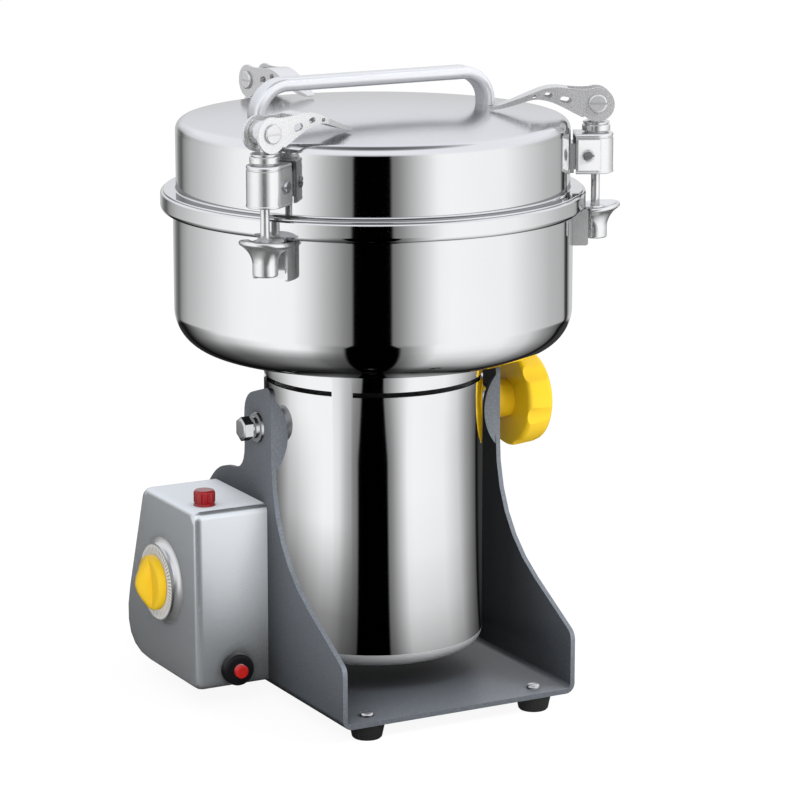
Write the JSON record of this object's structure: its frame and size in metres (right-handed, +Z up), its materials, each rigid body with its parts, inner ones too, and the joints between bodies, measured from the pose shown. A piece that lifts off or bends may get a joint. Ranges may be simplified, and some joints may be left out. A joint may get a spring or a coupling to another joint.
{
  "type": "electric grain mill",
  "caption": "Tilting electric grain mill: steel grinding bowl on a motor tube, clamped lid with carry handle, bent-sheet stand, timer box and lock knob.",
  "frame": {"origin": "on the drum's axis at the level of the feet's soles", "axes": "+Z up along the drum's axis, -Y towards the front of the stand, +X towards the lock knob"},
  "size_m": [0.2835, 0.2773, 0.3805],
  "materials": {
    "stand_paint": "blue-grey hammered powder coat, semi-gloss",
    "box_paint": "silver-grey fine powder coat, satin",
    "rubber_black": "matt black rubber",
    "zinc": "bright zinc-plated steel",
    "bezel_metal": "satin turned metal",
    "dial_white": "white printed dial plate",
    "inner_plastic": "dark moulded plastic",
    "lamp_red": "faceted red lens",
    "black_plastic": "black moulded plastic",
    "knob_yellow": "yellow moulded plastic",
    "button_red": "red moulded plastic",
    "polished_steel": "mirror-polished stainless steel",
    "latch_steel": "polished stainless steel, fine lines",
    "lever_cast": "polished cast lever",
    "blade_steel": "ground stainless steel",
    "cast_aluminium": "cast aluminium",
    "lamination": "varnished laminations and copper windings",
    "brass_fitting": "copper and brass",
    "gasket_rubber": "white silicone rubber"
  },
  "bodies": {
    "stand": {"stand_frame": "stand_paint", "feet": "rubber_black", "foot_screws": "zinc", "pivot_fasteners": "zinc", "control_box": "box_paint", "box_screws": "zinc", "timer_bezel": "bezel_metal", "dial_plate": "dial_white", "timer_body": "inner_plastic", "lamp_lens": "lamp_red", "lamp_body": "inner_plastic", "cutout_body": "black_plastic", "cord_bush": "rubber_black"},
    "timer": {"timer_knob": "knob_yellow", "timer_shaft": "zinc"},
    "reset": {"reset_button": "button_red"},
    "lock": {"lock_knob": "knob_yellow", "lock_stud": "zinc"},
    "drum": {"bowl": "polished_steel", "bowl_flange": "cast_aluminium", "motor_tube": "polished_steel", "tube_base": "polished_steel", "stator": "lamination", "bearings": "zinc", "upper_shield": "cast_aluminium", "lower_shield": "cast_aluminium", "brush_gear": "brass_fitting", "rim_gasket": "gasket_rubber", "shaft_seal": "rubber_black", "flange_screws": "zinc", "trunnions": "zinc", "catches": "latch_steel"},
    "rotor": {"shaft": "blade_steel", "rotor_core": "lamination", "commutator": "brass_fitting", "cooling_fan": "inner_plastic", "lower_blade": "blade_steel", "upper_blade": "blade_steel", "blade_spacer": "blade_steel", "blade_nut": "blade_steel"},
    "lid": {"lid_shell": "polished_steel", "handle": "polished_steel", "handle_screws": "zinc", "latch_mounts": "latch_steel", "swing_screws": "zinc"},
    "front_clamp": {"front_housing": "latch_steel", "front_rod": "latch_steel", "front_pin": "zinc", "front_claw": "latch_steel"},
    "front_cam": {"front_lever": "lever_cast"},
    "right_clamp": {"right_housing": "latch_steel", "right_rod": "latch_steel", "right_pin": "zinc", "right_claw": "latch_steel"},
    "right_cam": {"right_lever": "lever_cast"},
    "rear_clamp": {"rear_housing": "latch_steel", "rear_rod": "latch_steel", "rear_pin": "zinc", "rear_claw": "latch_steel"},
    "rear_cam": {"rear_lever": "lever_cast"}
  },
  "joints": [
    {"name": "tilt", "type": "hinge", "parent": "stand", "child": "drum", "pos_m": [0, 0, 0.17003], "axis": [1, 0, 0], "range_deg": [-45, 90]},
    {"name": "rotor_spin", "type": "hinge", "parent": "drum", "child": "rotor", "pos_m": [0, 0, 0.21403], "axis": [0, 0, 1], "continuous": true},
    {"name": "lid_lift", "type": "slide", "parent": "drum", "child": "lid", "axis": [0, 0, 1], "range_m": [0, 0.12]},
    {"name": "timer_turn", "type": "hinge", "parent": "stand", "child": "timer", "pos_m": [-0.127, 0.034, 0.07187], "axis": [-1, 0, 0], "range_deg": [0, 330]},
    {"name": "reset_press", "type": "slide", "parent": "stand", "child": "reset", "axis": [0, 1, 0], "range_m": [0, 0.0025], "stiffness_N_per_m": 400, "springref_m": -0.001},
    {"name": "lock_turn", "type": "hinge", "parent": "stand", "child": "lock", "pos_m": [0.079, 0, 0.17003], "axis": [1, 0, 0], "range_deg": [0, 360]},
    {"name": "front_swing", "type": "hinge", "parent": "lid", "child": "front_clamp", "pos_m": [-0.10592, -0.07416, 0.33], "axis": [-0.5736, 0.8192, 0], "range_deg": [0, 12.1]},
    {"name": "front_lever_turn", "type": "hinge", "parent": "front_clamp", "child": "front_cam", "pos_m": [-0.11059, -0.07743, 0.36103], "axis": [0.2419, -0.9703, 0], "range_deg": [0, 110]},
    {"name": "right_swing", "type": "hinge", "parent": "lid", "child": "right_clamp", "pos_m": [0.11719, -0.05464, 0.33], "axis": [-0.4226, -0.9063, 0], "range_deg": [0, 12.1]},
    {"name": "right_lever_turn", "type": "hinge", "parent": "right_clamp", "child": "right_cam", "pos_m": [0.12235, -0.05705, 0.36103], "axis": [0.4226, 0.9063, 0], "range_deg": [0, 110]},
    {"name": "rear_swing", "type": "hinge", "parent": "lid", "child": "rear_clamp", "pos_m": [-0.01127, 0.12881, 0.33], "axis": [0.9962, 0.0872, 0], "range_deg": [0, 12.1]},
    {"name": "rear_lever_turn", "type": "hinge", "parent": "rear_clamp", "child": "rear_cam", "pos_m": [-0.01177, 0.13449, 0.36103], "axis": [-0.9962, -0.0872, 0], "range_deg": [0, 110]}
  ],
  "couplings": [
    {"joint": "front_swing", "follows": "front_lever_turn", "ratio": 0.10909},
    {"joint": "right_swing", "follows": "right_lever_turn", "ratio": 0.10909},
    {"joint": "rear_swing", "follows": "rear_lever_turn", "ratio": 0.10909}
  ]
}
